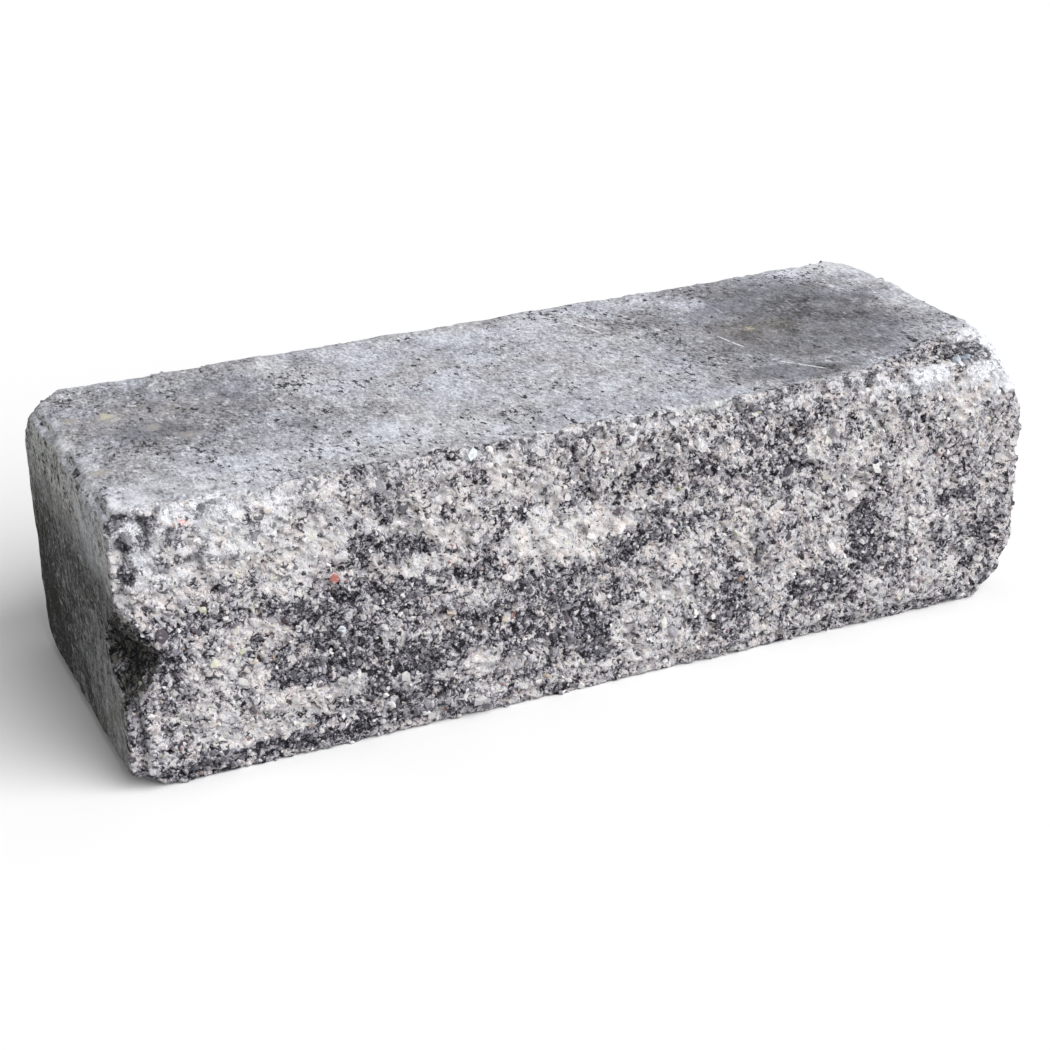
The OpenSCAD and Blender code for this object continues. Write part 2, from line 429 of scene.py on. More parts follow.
def fineRelief(p, n, broken, spall):
    # how far each point moves along its normal, and how deep the broken relief then sinks, which the finish
    # darkens as painted shade
    # broken: facets, small chips and grit less some holes, and deeper lumps in the spall
    facets = tiltedCells(p, skin["facetSize"], skin["facetHeight"], skin["facetTilt"], skin["facetSeed"])[0]
    small, near, number = tiltedCells(
        p + skin["chipShift"], skin["chipSize"], skin["chipHeight"], skin["chipTilt"], skin["chipSeed"])
    holes = skin["holeDepth"] * falling(near, *skin["holeFade"]) * (again(number, 29) < skin["holeShare"])
    low = ease(skin["lowReach"] - fromArris(p) / skin["lowWidth"]) * falling(p[:, 2], *skin["lowFade"])
    splitMove = (1 - skin["lowWear"] * low) * (facets + small + cloudOf("grit", p) - holes)
    splitMove = splitMove + cloudOf("spall", p) * rising(spall, *skin["spallFade"]) - skin["splitSink"]
    # pressed: slight waves, ripples that are rougher on the ends, and lumps along the arrises
    ends = 1 + (skin["endRipples"] - 1) * rising(np.abs(n[:, 0]), *skin["endFade"])
    ripples = skin["rippleHeight"] * ends * cloudOf("ripple", p)
    crust = cloudOf("crust", p) + cloudOf("crustWave", p)
    crust = crust * ease(skin["crustReach"] - fromArris(p) / skin["crustWidth"])
    pressedMove = cloudOf("wave", p) + ripples + crust - skin["pressedSink"]
    move = broken * splitMove + (1 - broken) * pressedMove
    hollowShade = broken * rising(-splitMove, *skin["hollowFade"])
    return move, hollowShade


# colour fields, one number per point, for the materials to mix by
# where the pour left the broken concrete darker or lighter: middle x, middle z, half width, half height
# and amount
# the dark patch at x -228, z 64 is painted shade beside the spall
pours = [
    (-128, 108, 9, 6, -1.0), (-112, 100, 9, 8, -0.35), (-96, 99, 8, 4, -0.6), (-130, 81, 58, 7, -0.5),
    (-162, 83, 13, 5, -0.4), (-150, 64, 24, 10, -0.4), (-134, 58, 8, 12, -0.6), (-160, 45, 20, 6, -1.1),
    (-138, 50, 12, 7, -0.6), (-110, 38, 14, 16, -0.65), (-88, 42, 9, 8, -0.5), (-98, 20, 22, 9, -0.25),
    (-125, 29, 7, 10, -0.4), (-190, 9, 62, 5, -1.0), (-122, 12, 20, 5, -0.6), (-212, 82, 18, 4, -0.6),
    (-32, 65, 24, 9, -0.25), (-18, 44, 12, 11, -0.7), (-9, 36, 9, 9, -0.7), (-6, 24, 9, 7, -0.8),
    (-45, 40, 14, 12, -0.3), (10, 73, 9, 8, -0.2), (-62, 50, 20, 12, -0.3), (28, 114, 10, 8, -0.55),
    (52, 112, 6, 8, -0.4), (38, 82, 18, 6, -0.3), (102, 110, 14, 14, -0.35), (84, 96, 10, 14, -0.1),
    (78, 130, 12, 8, -0.2), (112, 128, 12, 8, -0.15), (-70, 79, 12, 6, -0.4), (-230, 45, 12, 22, -0.15),
    (8, 54, 10, 8, -0.25), (170, 40, 12, 14, -0.35), (-70, 130, 12, 8, -0.4), (-196, 104, 18, 5, -0.3),
    (122, 92, 8, 9, -0.15), (148, 66, 5, 9, -0.6), (152, 47, 5, 11, -0.8), (72, 42, 10, 7, -0.8),
    (72, 24, 12, 16, -0.35), (124, 32, 20, 9, -0.5), (140, 17, 50, 8, -0.15), (208, 66, 11, 7, -0.6),
    (196, 95, 8, 8, -0.3), (228, 45, 9, 6, -0.8), (198, 35, 6, 7, -0.4), (-195, 116, 50, 26, 0.6),
    (-150, 118, 24, 15, 0.35), (-98, 110, 10, 5, 1.0), (-84, 102, 10, 6, 0.9), (-98, 89, 18, 4, 0.9),
    (-24, 91, 30, 12, 1.0), (-62, 124, 32, 13, 0.5), (-202, 40, 28, 22, 0.3), (-160, 30, 20, 8, 0.6),
    (-186, 17, 20, 5, 0.5), (-228, 64, 9, 12, -0.3), (-72, 31, 11, 8, 0.6), (-110, 28, 8, 6, 0.7),
    (-90, 28, 8, 6, 0.35), (44, 62, 13, 8, 0.4), (20, 60, 12, 9, 0.1), (38, 44, 15, 5, 0.6),
    (24, 32, 20, 14, 0.15), (-14, 78, 14, 6, 0.5), (80, 61, 6, 11, 0.5), (108, 56, 13, 8, 0.3),
    (132, 59, 8, 10, 0.45), (108, 42, 8, 7, 0.5), (148, 104, 8, 6, 0.2), (126, 112, 10, 9, 0.4),
    (145, 91, 7, 16, 0.35), (74, 76, 12, 9, 0.2), (160, 126, 14, 12, 0.35), (188, 76, 14, 10, 0.2),
    (216, 120, 20, 14, 0.5), (8, 126, 12, 8, 0.35), (-246, 142, 6, 5, -1.6), (-245, 130, 4, 5, -1.6),
    (-234, 129, 4, 5, -1.5), (-237, 141, 4, 3, -1.1), (-230, 137, 5, 4, -1.2), (-219, 131, 4, 4, -1.3),
    (-199, 140, 8, 4, -1.1), (-184, 129, 7, 6, -1.0), (-240, 116, 5, 6, -1.3), (-226, 117, 5, 4, -1.0),
    (-210, 119, 5, 4, -0.9), (-170, 112, 9, 5, -0.45), (-215, 104, 10, 4, -0.45),
    (-160, 128, 7, 7, -0.45), (-188, 100, 18, 3, -0.35), (165, 85, 85, 52, 0.1), (-30, 116, 9, 6, 0.5),
    (190, 96, 9, 12, 0.2), (-190, 91, 10, 5, -0.35), (10, 91, 9, 6, 0.7), (-190, 78, 10, 5, 0.6),
    (-210, 79, 9, 5, 0.25), (-20, 79, 16, 6, 0.2), (90, 80, 8, 6, 0.4), (-170, 68, 8, 5, 0.45),
    (-130, 54, 8, 8, -0.25), (188, 50, 9, 12, 0.25), (151, 52, 8, 9, -0.5), (130, 41, 8, 6, -0.35),
    (-10, 41, 8, 7, -0.45), (188, 22, 12, 10, 0.3), (-70, 104, 9, 6, 0.3), (171, 91, 8, 6, 0.4),
    (-90, 79, 8, 5, 0.5), (-190, 66, 9, 5, -0.35), (-50, 54, 8, 6, 0.45), (-30, 54, 8, 6, -0.3),
    (170, 54, 7, 6, 0.4), (60, 14, 120, 8, 0.12), (170, 14, 12, 6, 0.4), (20, 16, 18, 5, 0.2),
]

# shades of the upper bed: middle x, middle y, half width, half depth, amount; the light ones at x 226 to
# 240 are a painted highlight on the rounded right end
shades = [
    (165, 5, 48, 84, -0.78), (186, 24, 28, 32, -0.25), (120, -70, 42, 10, -0.6), (104, -10, 26, 60, -0.4),
    (74, 40, 26, 16, -0.3), (126, 76, 12, 12, -0.3), (130, 60, 10, 9, 0.9), (230, 5, 12, 18, 0.5),
    (238, -60, 16, 22, 1.0), (226, 80, 26, 14, 1.1), (240, 48, 8, 12, 0.7), (-188, 26, 48, 56, -0.4),
    (-146, 50, 20, 34, -0.25), (-200, 6, 22, 8, -0.35), (-130, -64, 104, 18, 0.4),
    (-96, -45, 26, 20, 0.3), (-20, 0, 104, 84, 0.3), (20, 78, 124, 18, 0.25), (-100, 72, 8, 10, -0.5),
    (14, 82, 8, 6, -0.6), (-178, 66, 10, 9, 0.5), (-18, -60, 40, 12, -0.2), (165, -74, 22, 8, 0.5),
    (222, 27, 10, 10, -0.6), (130, 26, 12, 10, 0.3), (-126, 76, 14, 8, 0.5), (-15, 44, 22, 10, -0.3),
    (58, 52, 10, 14, 0.4), (-105, 36, 12, 16, 0.3), (-112, -16, 26, 14, -0.45), (-40, -30, 18, 12, -0.2),
    (-95, -55, 24, 8, -0.35), (-129, -6, 12, 10, -0.3), (-205, -66, 22, 10, -0.3),
    (-124, 66, 16, 14, 0.4), (-40, 56, 30, 12, -0.2), (28, 78, 14, 8, 0.3), (160, -56, 18, 8, 0.35),
    (222, 14, 10, 8, -0.35), (152, -4, 12, 12, -0.3), (199, 12, 12, 8, 0.3), (176, 46, 12, 8, 0.3),
]

# rusty smudges on top, in the same form
smudges = [(134, -2, 30, 20, 0.35), (-196, 36, 34, 12, 0.4), (-226, 24, 20, 14, 0.3)]

# soft spots of colour: middle, half sizes, and the fade, where it ends and what it takes in half sizes
spots = {
    # the grey chip at the top right corner, and the broken edge beside it
    "chip": ((222, -76, 139), (15, 13, 9), (1.25, 0.5)),
    "chipEdge": ((198, -68, 142), (34, 12, 12), (1.25, 0.5)),
    # white crust at both top corners, below the chip and on the left end; at the top right corner and below
    # the chip it is also a painted highlight
    "topLeft": ((-236, -86, 136), (66, 26, 26), (1.4, 0.8)),
    "topRight": ((242, -80, 136), (26, 34, 15), (1.3, 0.6)),
    "rim": ((196, -92, 135), (44, 10, 7), (1.3, 0.6)),
    "endPatch": ((-250, -58, 126), (12, 34, 22), (1.3, 0.6)),
}

# how the colour fields are made: fades and strengths
tinting = {
    "facing": (0.5, 0.3), "patchFade": (1.35, 0.7), "pushSeeds": (90, 93),
    # size and reach of the pushes that make the patches' borders billow
    "pourPush": (16, 6), "shadePush": (30, 14), "smudgePush": (14, 7),
    # the spall is darker: partly dark lumps, partly painted shade of its recess
    "spallDark": 0.6, "chipDark": 0.8, "chipEdgeDark": 0.2,
    # the left end is lightest at its top, darkest low down at the back: partly dirt, partly painted shade
    # of the end that faces away from the lamp
    "endLight": 0.5, "endDark": 1.65, "nearLight": 0.62, "backDark": 0.5,
    "lowFade": (130, 44), "deepFade": (95, 50), "backFade": (-10, 80), "nearFade": (0, 60),
    # the crust is widest and whitest near the ends of the top arrises
    "crustWidth": 9.0, "crustReach": 1.35, "crustHigh": (96, 40),
    "crustEnds": (130, 70), "crustShift": 20, "crustMiddle": 0.3, "crustMore": 0.5, "crustOffEnd": 0.5,
    # the white at the top right corner is also a painted highlight
    "endPatchWhite": 0.4, "topLeftWhite": 0.85, "topRightWhite": 2.6,
    # bare grains show through it, most on the grey chip and the dark mix
    "bleachFade": (0.25, 0.35), "chipBare": 0.75, "darkBare": 0.85, "darkFade": (0.4, 0.5),
    # the least and the most of each field
    "limits": {"tone": (-1.2, 1), "shade": (-2, 1), "brown": (0, 1), "crustAndHighlight": (0, 2), "soil": (0, 1)},
}


def patchSum(u, v, p, patches, size, amount):
    # sum of soft ellipses, after each place is pushed about by a cloud so that the borders billow
    pushU, pushV = (amount * 2 * (cloud(p, size, seed) - 0.5) for seed in tinting["pushSeeds"])
    total = np.zeros(len(u))
    for middleU, middleV, halfU, halfV, strength in patches:
        away = np.sqrt(((u + pushU - middleU) / halfU) ** 2 + ((v + pushV - middleV) / halfV) ** 2)
        total = total + strength * falling(away, *tinting["patchFade"])
    return total


def spotShare(p, name):
    # 1 inside a spot's ellipsoid, fading out with the distance from its middle in half sizes
    middle, half, fade = spots[name]
    return falling(np.linalg.norm((p - np.array(middle)) / np.array(half), axis=1), *fade)


def colourFields(p, n, spall):
    # sums of patches and spots, weighted by the side that they lie on; tone: -1 dark to 1 cream on
    # broken concrete, darker in the spall partly as painted shade; shade: the same for pressed
    # concrete, with painted shade low on the left end and a painted highlight at the right end of the
    # top; brown: rusty smudges on top; the white field: white crust on the arrises, and a painted
    # highlight at the top right corner; soil: greenish dirt
    onTop, leftEnd = rising(n[:, 2], *tinting["facing"]), rising(-n[:, 0], *tinting["facing"])
    chip = spotShare(p, "chip")
    tone = patchSum(p[:, 0], p[:, 2], p, pours, *tinting["pourPush"])
    # darker in the spall, partly as painted shade of its recess
    tone = tone + cloudOf("tone", p) - tinting["spallDark"] * spall
    tone = tone - tinting["chipDark"] * chip - tinting["chipEdgeDark"] * spotShare(p, "chipEdge")

    low, deep = (falling(p[:, 2], *tinting[fade]) for fade in ("lowFade", "deepFade"))
    back, near = rising(p[:, 1], *tinting["backFade"]), falling(p[:, 1], *tinting["nearFade"])
    # painted shade with some dirt: the left end darkens downwards and towards the back
    endShade = tinting["endLight"] - tinting["endDark"] * low
    endShade = endShade + deep * (tinting["nearLight"] * near - tinting["backDark"] * back)
    shade = onTop * patchSum(p[:, 0], p[:, 1], p, shades, *tinting["shadePush"]) + leftEnd * endShade
    brown = onTop * patchSum(p[:, 0], p[:, 1], p, smudges, *tinting["smudgePush"])

    crust = ease(tinting["crustReach"] - (fromArris(p) + cloudOf("crustEdge", p)) / tinting["crustWidth"])
    ends = rising(np.abs(p[:, 0] + tinting["crustShift"]), *tinting["crustEnds"])
    ends = tinting["crustMiddle"] + tinting["crustMore"] * ends
    crust = crust * rising(p[:, 2], *tinting["crustHigh"]) * ends
    crustAndHighlight = crust * (1 - tinting["crustOffEnd"] * leftEnd)
    crustAndHighlight = crustAndHighlight + tinting["endPatchWhite"] * leftEnd * spotShare(p, "endPatch")
    crustAndHighlight = crustAndHighlight + tinting["topLeftWhite"] * spotShare(p, "topLeft") * (1 - leftEnd)
    crustAndHighlight = crustAndHighlight + tinting["topRightWhite"] * spotShare(p, "topRight") + spotShare(p, "rim")
    crustAndHighlight = crustAndHighlight * rising(cloudOf("crustAndHighlight", p), *tinting["bleachFade"])
    dark = rising(-tone, *tinting["darkFade"])
    crustAndHighlight = crustAndHighlight * (1 - tinting["chipBare"] * chip) * (1 - tinting["darkBare"] * dark)
    soil = spall * cloudOf("soil", p) + leftEnd * cloudOf("endSoil", p)
    fields = {"tone": tone, "shade": shade, "brown": brown, "crustAndHighlight": crustAndHighlight, "soil": soil}
    return {name: np.clip(values, *tinting["limits"][name]) for name, values in fields.items()}


def makeBlock():
    # envelope, coarse shape trimmed by the pressed planes, then relief along the normals; thinned so
    # that the triangles left are where the relief is
    p, n, triangles = skinGrid()
    p, spall, knocked = coarseShape(p, n)
    p = insidePlanes(p, 0)
    print("block envelope", len(p), "points")
    piece = meshFrom("tumbledWallBlock", p, triangles)
    p, normal = pointsOf(piece.data)
    broken = brokenShare(p, normal, spall, knocked)
    move, hollowShade = fineRelief(p, normal, broken, spall)
    fields = {"broken": broken, "hollowShade": hollowShade, **colourFields(p, normal, spall)}
    p = insidePlanes(p + normal * move[:, None], block["splitProud"])
    piece.data.vertices.foreach_set("co", (p * mm).astype(np.float32).ravel())
    for name, values in fields.items():
        setField(piece.data, name, values)
    piece.data.update()

    thinner = piece.modifiers.new("thinner", "DECIMATE")
    thinner.ratio = block["triangles"] / len(triangles)
    seen = piece.evaluated_get(bpy.context.evaluated_depsgraph_get())
    full, thin = piece.data, bpy.data.meshes.new_from_object(seen)
    piece.modifiers.clear()
    piece.data = thin
    bpy.data.meshes.remove(full)
    thin.name = piece.name
    thin.polygons.foreach_set("use_smooth", np.ones(len(thin.polygons), bool))
    print("block skin", len(thin.polygons), "triangles")
    return piece


# materials

def shown(r, g, b):
    # a colour as a screen shows it, 0 to 255, to the linear values that shaders take
    c = np.array([r, g, b]) / 255
    c = np.where(c <= 0.04045, c / 12.92, ((c + 0.055) / 1.055) ** 2.4)
    return (float(c[0]), float(c[1]), float(c[2]), 1.0)


# random lumps of the finishes: width in millimetres, detail, roughness, and swirl, which draws them
# out into flakes and wisps
lumps = {
    "grit": (1.2, 3.0, 0.75, 0.0), "clump": (3.6, 4.0, 0.7, 0.9), "border": (4.6, 3.0, 0.6, 0.0),
    "blotch": (10.0, 4.0, 0.62, 0.6), "tint": (8.0, 2.0, 0.6, 0.0), "stir": (2.2, 2.0, 0.6, 0.0),
    "cloudy": (34.0, 3.0, 0.6, 0.0), "mid": (9.0, 4.0, 0.65, 0.0), "small": (3.0, 4.0, 0.7, 0.0),
    "fine": (1.5, 3.0, 0.75, 0.0), "speck": (2.6, 3.0, 0.7, 0.0), "crowd": (48.0, 2.0, 0.6, 0.0),
    "streak": (5.0, 3.0, 0.65, 0.0), "wisp": (2.6, 3.0, 0.65, 0.0), "flushStir": (4.0, 2.0, 0.6, 0.0),
    "stoneMottle": (1.3, 3.0, 0.7, 0.0), "stoneSmear": (2.6, 3.0, 0.7, 0.0),
}
# values that are weighed as they are: every other one is noise, counted from its middle
weighedPlain = ("tone", "plain")


class Finish:
    # a shader with short ways to add and join nodes: each call gives the new node's output socket
    def __init__(self, name, owners):
        # owners is the list that holds it: the file's materials or its worlds
        self.owner = owners.new(name)
        self.owner.use_nodes = True
        self.tree = self.owner.node_tree
        self.tree.nodes.clear()
        self.place = self.add("ShaderNodeTexCoord", output=3)

    def add(self, kind, inputs=None, output=0, **settings):
        # a new node: sockets given as inputs are linked, and other inputs are set
        node = self.tree.nodes.new(kind)
        for key, value in settings.items():
            setattr(node, key, value)
        for key, value in (inputs or {}).items():
            if isinstance(value, bpy.types.NodeSocket):
                self.tree.links.new(value, node.inputs[key])
            else:
                node.inputs[key].default_value = value
        return node.outputs[output]

    def math(self, operation, a, b=0.0, clamp=False):
        # a and b joined by the named operation
        return self.add("ShaderNodeMath", {0: a, 1: b}, operation=operation, use_clamp=clamp)

    def total(self, *parts):
        # adds numbers and sockets up
        result = parts[0]
        for part in parts[1:]:
            result = self.math("ADD", result, part)
        return result

    def around(self, noise, amount):
        # (noise - 0.5) * amount
        return self.math("MULTIPLY", self.math("SUBTRACT", noise, 0.5), amount)

    def ragged(self, value, noise, amount):
        # value + (noise - 0.5) * amount, so that the border where it is cut is ragged
        return self.total(value, self.around(noise, amount))

    def weighed(self, weights, **values):
        # the base plus each value, or each noise's distance from its middle, times its weight
        parts = [(self.times if name in weighedPlain else self.around)(value, weights[name])
                 for name, value in values.items()]
        return self.total(weights["base"], *parts)

    def times(self, *parts):
        # multiplies numbers and sockets together
        result = parts[0]
        for part in parts[1:]:
            result = self.math("MULTIPLY", result, part)
        return result

    def less(self, value, low, high):
        # 1 below low, 0 above high
        return self.span(value, low, high, 1.0, 0.0)

    def between(self, share, start, end):
        # start where the share is 0, end where it is 1
        return self.span(share, 0.0, 1.0, start, end)

    def span(self, value, low, high, start=0.0, end=1.0):
        # eased from start, at low and below it, to end, at high and above it
        return self.add("ShaderNodeMapRange", {0: value, 1: low, 2: high, 3: start, 4: end},
                        interpolation_type="SMOOTHSTEP")

    def mix(self, share, a, b, blend="MIX"):
        # colour a, covered or multiplied by colour b as far as the share says
        inputs = {0: share, 6: a, 7: b}
        return self.add("ShaderNodeMix", inputs, output=2, data_type="RGBA", blend_type=blend)

    def coated(self, colour, share, name, blend="MIX"):
        # a colour under a coat of one of the paste's colours
        return self.mix(share, colour, shown(*paste[name]), blend)

    def ramp(self, value, stops, interpolation="LINEAR"):
        # stops are pairs of a position and a screen colour
        out = self.add("ShaderNodeValToRGB", {0: value})
        band = out.node.color_ramp
        band.interpolation = interpolation
        band.elements.remove(band.elements[1])
        band.elements[0].position, band.elements[0].color = stops[0][0], shown(*stops[0][1])
        for position, colour in stops[1:]:
            band.elements.new(position).color = shown(*colour)
        return out

    def noise(self, kind, place=None, output=0):
        # one of the named kinds of lumps
        size, detail, roughness, swirl = lumps[kind]
        return self.add("ShaderNodeTexNoise", {
            "Vector": place or self.place, "Scale": 1 / (size * mm), "Detail": detail,
            "Roughness": roughness, "Distortion": swirl}, output=output)

    def stretched(self, factors):
        # place times a factor for each axis: noise read there is drawn out where the factor is small
        return self.add("ShaderNodeVectorMath", {0: self.place, 1: factors}, operation="MULTIPLY")

    def stirred(self, kind, amount, place=None):
        # places pushed about by (noise - 0.5) * amount, so that no grain is a clean cell
        place = place or self.place
        noise = self.noise(kind, place, output=1)
        push = self.add("ShaderNodeVectorMath", {0: noise, 1: (0.5, 0.5, 0.5)}, operation="SUBTRACT")
        push = self.add("ShaderNodeVectorMath", {0: push, "Scale": amount * mm}, operation="SCALE")
        return self.add("ShaderNodeVectorMath", {0: place, 1: push}, operation="ADD")

    def grains(self, size, place, measure="EUCLIDEAN"):
        # cells of one grain each: how far the place is from the grain's middle, and three random numbers
        inputs = {"Vector": place, "Scale": 1 / (size * mm)}
        distance = self.add("ShaderNodeTexVoronoi", inputs, distance=measure)
        parts = self.add("ShaderNodeSeparateColor", {0: distance.node.outputs["Color"]})
        return distance, parts.node.outputs[0], parts.node.outputs[1], parts.node.outputs[2]

    def read(self, name, output=2):
        # a number that the mesh carries at each point, or a colour with output 0
        return self.add("ShaderNodeAttribute", output=output, attribute_name=name)

    def close(self, surface, kind="ShaderNodeOutputMaterial"):
        # the last node, which hands the surface over
        end = self.tree.nodes.new(kind)
        self.tree.links.new(surface, end.inputs[0])
        return self.owner

    def finish(self, colour, roughness, height, depth, strength, specular):
        # an opaque surface with fine relief, its depth in millimetres
        bump = self.add("ShaderNodeBump", {"Height": height, "Distance": depth * mm, "Strength": strength})
        surface = self.add("ShaderNodeBsdfPrincipled", {
            "Base Color": colour, "Roughness": roughness, "Normal": bump, "Specular IOR Level": specular})
        return self.close(surface)


# the concrete's colours as a screen shows them, 0 to 255, and its marks
paste = {
    # the near-black of the pits is painted shadow, put in holes, crevices, recesses and pores
    "bloom": (238, 240, 246), "wisp": (112, 114, 99), "scratch": (244, 245, 248), "pitShadow": (25, 25, 28),
    "brownStain": (156, 147, 134), "grime": (150, 150, 134),
    # the dark and the light mix, each from its crevices, painted dark as shade, to its highlights, painted
    # light
    "darkMix": [(0.0, (14, 14, 16)), (0.3, (44, 43, 48)), (0.5, (86, 84, 92)),
                (0.68, (140, 137, 146)), (0.92, (204, 202, 208))],
    "lightMix": [(0.05, (63, 61, 69)), (0.24, (141, 138, 147)), (0.4, (197, 194, 199)),
                 (0.55, (221, 218, 217)), (0.85, (236, 233, 231))],
    # the light mix varies from pinkish over bluish to a greenish cream
    "tints": [(0.34, (255, 248, 246)), (0.46, (255, 252, 250)), (0.56, (248, 250, 255)),
              (0.68, (252, 253, 246))],
    # broken concrete's small grains by chance, dark to light
    "grainColours": [(0.0, (46, 45, 51)), (0.2, (96, 93, 102)), (0.42, (150, 147, 156)),
                     (0.64, (202, 199, 205)), (0.86, (233, 231, 231))],
    # pressed concrete from its darkest cloud to its lightest; the darkest stops serve mostly the painted
    # shade low on the left end
    "pressedColours": [(0.0, (36, 36, 36)), (0.12, (80, 80, 82)), (0.3, (134, 134, 140)),
                       (0.55, (172, 172, 178)), (0.78, (202, 203, 209)), (1.0, (229, 231, 236))],
    "pressedTints": [(0.38, (255, 254, 252)), (0.5, (252, 252, 254)), (0.62, (249, 251, 255))],
    "flushColours": [(0.0, (140, 139, 142)), (0.3, (206, 206, 208)), (0.8, (190, 186, 176))],
    "sideTint": (253, 252, 240),
    # scratches on top: two ends and a width, in millimetres
    "scratches": [((50, 62), (59, 37), 1.4), ((112, 0), (116, -22), 0.9), ((122, -52), (137, -72), 1.0),
                  ((18, 65), (25, 55), 1.1)],
    # pale stones flush with the top: middle, half width, colour
    "flushStones": [((-216, 38), 6.0, (210, 206, 186)), ((-160, 44), 4.0, (222, 222, 226)),
                    ((134, 3), 3.0, (198, 188, 166)), ((-235, 40), 5.0, (170, 164, 154)),
                    ((-200, 12), 6.0, (176, 171, 168)), ((-186, -6), 5.0, (168, 163, 157)),
                    ((-238, -35), 5.0, (172, 165, 157))],
}

# how the finishes mix those colours
mixing = {
    # widths of the small grains, and of the cells that hold flush stones and pits
    "cellSize": 3.6, "fineSize": 2.0, "flushSize": 6.5, "stirring": 2.4, "flushStirring": 5.0,
    # the parting of the two mixes, and how light each place of a mix is, from painted crevice shade to
    # painted highlight
    "parting": {"base": 0.06, "tone": 0.5, "blotch": 0.85, "clump": 1.15, "cell": 0.36, "fine": 0.16,
                "plain": 0.14},
    "darkHeight": {"base": 0.455, "grit": 2.0, "clump": 2.8, "fine": 0.22},
    "paleHeight": {"base": 0.42, "tone": 0.2, "grit": 1.05, "clump": 1.4, "blotch": 1.0, "plain": 0.07},
    "mottle": {"base": 0.0, "mid": 0.85, "small": 0.8, "fine": 1.35, "flush": 0.08},
    # cuts, each from its low end to its high end
    "plainCut": (0.5, 1.0), "lightCut": (-0.13, 0.13), "topCut": (0.4, 0.7), "brokenCut": (0.42, 0.58),
    "fineEdge": (0.26, 0.4), "fineOdds": (0.5, 0.52), "cellEdge": (0.5, 0.65), "cellOdds": (0.55, 0.57),
    "flushEdge": (0.16, 0.36), "flushOdds": (0.7, 0.72), "pitEdge": (0.13, 0.17), "pitOdds": (0.36, 0.38),
    "darkSpecks": (0.37, 0.42), "poreSpecks": (0.345, 0.37), "chalkCut": (0.6, 0.7),
    "wispCut": (0.54, 0.64), "coatCut": (0.5, 0.6), "reliefCut": (0.3, 0.7),
    # how strongly each mark covers what lies under it; the dark specks and the deep places of the relief
    # are painted shade
    "darkSpeckShare": 0.85, "hollowShare": 0.65, "flushShare": 0.3, "chalkShare": 0.45,
    "flushStoneShare": 0.7, "scratchShare": 0.9, "wispShare": 0.6, "coatShare": 0.8,
    # small grains: lighter in the light mix, fewer there and fewer still where it's plain
    "grainShift": (-0.11, 0.155), "plainShift": 0.12, "plainSpecks": 0.025,
    "fineMany": (0.65, 0.35), "cellMany": (0.75, 0.5), "plainMany": (1.0, 0.6),
    # noise is squeezed along one axis: grains across the block, runs and wisps down its sides, and marks
    # seen from above
    "drawnOut": (1.0, 0.55, 1.0), "runs": (1.0, 1.0, 0.3), "wisps": (1.0, 1.0, 0.35),
    "fromAbove": (1.0, 1.0, 0.0),
    # how much of a mark's width is at full strength
    "flushCore": 0.4, "scratchCore": 0.2,
    # how ragged each border is
    "fineRagged": 0.8, "cellRagged": 1.2, "speckRagged": 0.5, "flushRagged": 0.6, "pitRagged": 0.9,
    "chalkRagged": 0.5, "brokenRagged": 0.9, "grimeRagged": 0.8, "bloomRagged": 0.7, "markRagged": 12.0,
    "oddsRagged": 0.5,
    # pressed concrete: lightness, and what clouds and shades add; dark areas are calmer
    "pressedBase": 0.56, "cloudWeight": 0.5, "shadeWeight": 0.35, "calmCut": (-0.8, -0.2, 0.4, 1.0),
    "sideCalm": 0.7, "streakWeight": 1.2, "livelyCut": (0.05, 0.4, 0.0, 1.4), "crowdWeight": 0.45,
    "porousSides": 0.014, "brownCut": (0.3, 0.7, 0.2, 0.75), "poreCut": (0.4, 1.0, 0.6, 0.9),
    "grimeCut": (0.3, 0.66, 1.0, 0.5), "bloomCut": (0.3, 0.62, 0.15, 1.0), "scratchCut": (0.3, 0.55),
    # paste and white crust on the crushed stones
    "coatTone": (-0.3, 0.3), "stoneBloom": 0.6, "mostBloom": 0.9,
    # the finest relief and the surface: depth in millimetres, strength and gloss
    "gritBump": (1.0, 2.0), "clumpBump": 0.8, "poreBump": -0.8, "relief": (0.6, 1.0, 0.14),
    "stoneRelief": (0.5, 0.8, 0.35), "rough": (0.2, 0.8, 0.8, 0.95), "stoneRough": (0.2, 0.8, 0.65, 0.9),
}


def onTopOnly(s):
    # 1 on the upper bed, 0 elsewhere
    up = s.add("ShaderNodeSeparateXYZ", {0: s.add("ShaderNodeNewGeometry", output=3)}, output=2)
    return s.span(up, *mixing["topCut"])


def scratchShare(s, place, start, end, width):
    # 1 on the line between two places on top: distance from the nearest point of the segment
    start, end = Vector((*start, 0)) * mm, Vector((*end, 0)) * mm
    along = end - start
    away = s.add("ShaderNodeVectorMath", {0: place, 1: start}, operation="SUBTRACT")
    share = s.add("ShaderNodeVectorMath", {0: away, 1: along / along.length_squared}, output=1,
                  operation="DOT_PRODUCT")
    share = s.math("ADD", share, 0.0, clamp=True)
    nearest = s.add("ShaderNodeVectorMath", {0: tuple(along), "Scale": share}, operation="SCALE")
    length = s.add("ShaderNodeVectorMath", {0: away, 1: nearest}, output=1, operation="DISTANCE")
    return s.less(length, mixing["scratchCore"] * width * mm, width * mm)


